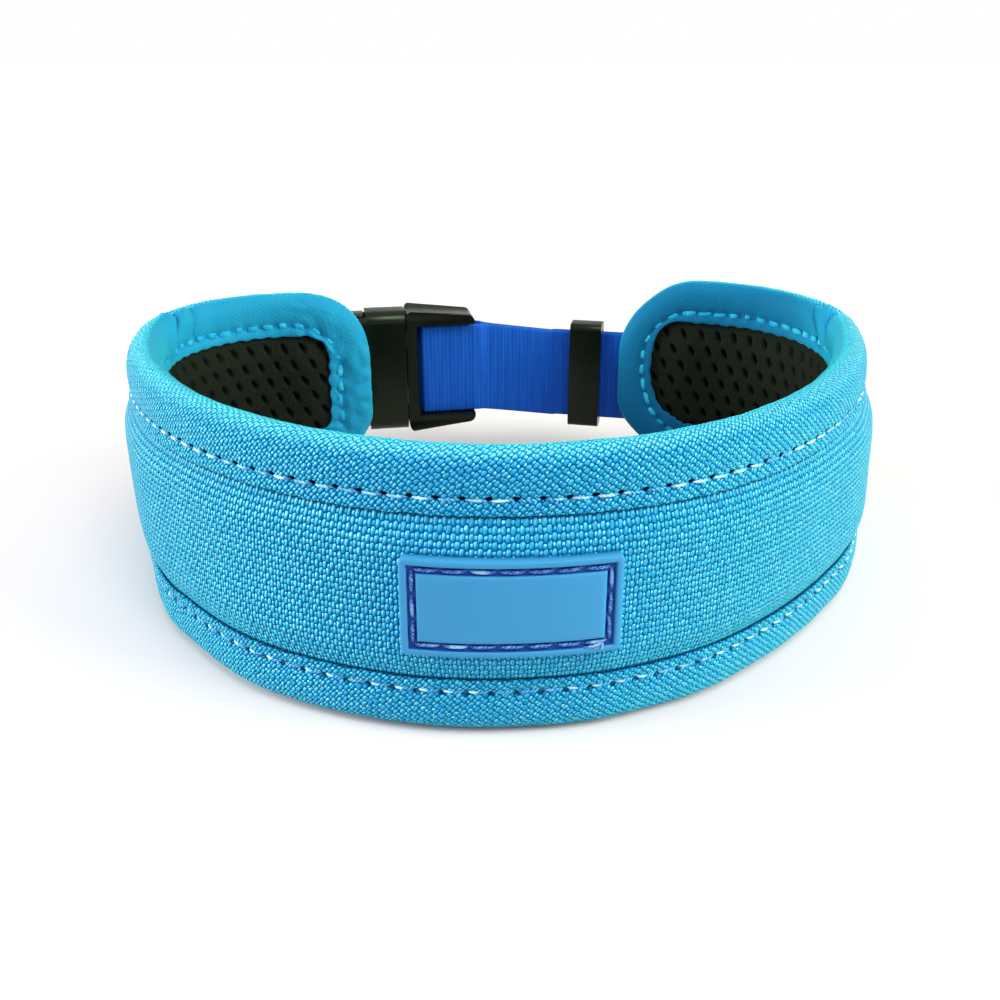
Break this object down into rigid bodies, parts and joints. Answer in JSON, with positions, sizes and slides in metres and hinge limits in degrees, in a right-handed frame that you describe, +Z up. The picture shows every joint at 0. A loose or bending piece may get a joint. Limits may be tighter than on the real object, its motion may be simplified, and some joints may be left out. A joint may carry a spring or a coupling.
{
  "type": "padded dog collar",
  "caption": "Wide padded dog collar with a bound woven band, mesh lining, sewn rubber badge, webbing strap, side-release buckle, sliding keeper and lead ring.",
  "frame": {"origin": "on the table under the middle of the closed collar's bounding box", "axes": "+X to the viewer's right along the front, +Y from the badge towards the buckle, +Z up"},
  "size_m": [0.1627, 0.1326, 0.0511],
  "materials": {
    "panel_cloth": "coarse plain weave, faint sheen",
    "binding_cloth": "bias-cut weave, faint sheen",
    "lining_mesh": "matte open spacer mesh",
    "foam": "soft closed-cell foam, hidden",
    "sewing_thread": "polyester thread",
    "badge_rubber": "moulded soft rubber, satin",
    "badge_thread": "polyester thread",
    "webbing": "ribbed polyester webbing",
    "webbing_thread": "bonded polyester thread",
    "buckle_plastic": "fine satin moulding",
    "ring_steel": "welded, nickel plated"
  },
  "bodies": {
    "band": {"outer_panel": "panel_cloth", "foam_pad": "foam", "mesh_lining": "lining_mesh", "edge_binding": "binding_cloth", "needle_thread": "sewing_thread", "bobbin_thread": "sewing_thread", "badge_patch": "badge_rubber", "badge_stitches": "badge_thread", "buckle_tab": "webbing", "tab_stitches": "webbing_thread", "female_buckle": "buckle_plastic", "strap": "webbing", "strap_stitches": "webbing_thread", "tail_stitches": "webbing_thread"},
    "male_half": {"male_buckle": "buckle_plastic"},
    "upper_prong": {"upper_prong": "buckle_plastic"},
    "lower_prong": {"lower_prong": "buckle_plastic"},
    "keeper": {"strap_keeper": "buckle_plastic"},
    "ring": {"d_ring": "ring_steel"}
  },
  "joints": [
    {"name": "buckle_slide", "type": "slide", "parent": "band", "child": "male_half", "axis": [0.9848, 0.1736, 0], "range_m": [0, 0.021], "deforming": ["strap", "upper_prong", "lower_prong"]},
    {"name": "upper_prong_flex", "type": "hinge", "parent": "male_half", "child": "upper_prong", "pos_m": [-0.02537, 0.05686, 0.0385], "axis": [0.1736, -0.9848, 0], "range_deg": [0, 12], "stiffness_Nm_per_rad": 0.5},
    {"name": "lower_prong_flex", "type": "hinge", "parent": "male_half", "child": "lower_prong", "pos_m": [-0.02537, 0.05686, 0.0149], "axis": [-0.1736, 0.9848, 0], "range_deg": [0, 12], "stiffness_Nm_per_rad": 0.5},
    {"name": "keeper_slide", "type": "slide", "parent": "band", "child": "keeper", "axis": [0.9781, -0.2079, 0], "range_m": [-0.0015, 0.0035]},
    {"name": "ring_swing", "type": "hinge", "parent": "band", "child": "ring", "pos_m": [-0.05895, 0.05094, 0.0267], "axis": [0, 0, -1], "range_deg": [0, 105]}
  ]
}
